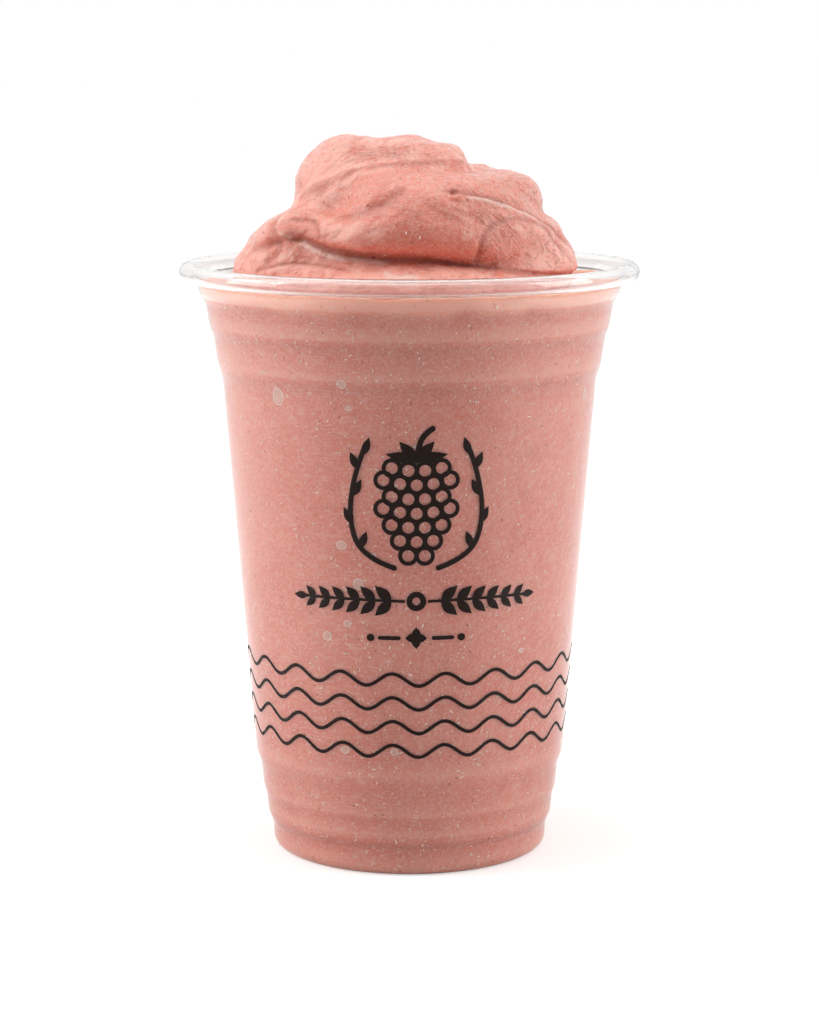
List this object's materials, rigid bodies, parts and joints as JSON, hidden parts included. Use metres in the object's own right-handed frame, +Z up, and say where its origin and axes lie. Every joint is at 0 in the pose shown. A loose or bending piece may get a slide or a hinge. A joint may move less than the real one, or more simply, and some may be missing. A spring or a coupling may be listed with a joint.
{
  "type": "raspberry smoothie in a clear cup",
  "caption": "Thick pale pink raspberry smoothie filling a tapered clear plastic cup with moulded ledges and a rolled rim, heaped in soft folds above the rim, printed with dark line art",
  "frame": {"origin": "middle of the cup's standing ring, on the surface that the cup stands on", "axes": "+Z up along the cup's axis; -Y is the side with the middle of the printed emblem; +X to the right seen from that side"},
  "size_m": [0.098, 0.098, 0.154],
  "materials": {
    "clear_plastic": "glossy clear thermoformed sheet",
    "smoothie": "wet, smooth, thick blended fruit",
    "print": "dark brown ink printed on the outside of the cup",
    "seeds": "dark red fruit specks",
    "froth": "pale froth, ice crystals and bubbles"
  },
  "bodies": {
    "root": {"cup": "clear_plastic", "smoothie": "smoothie"}
  },
  "joints": []
}
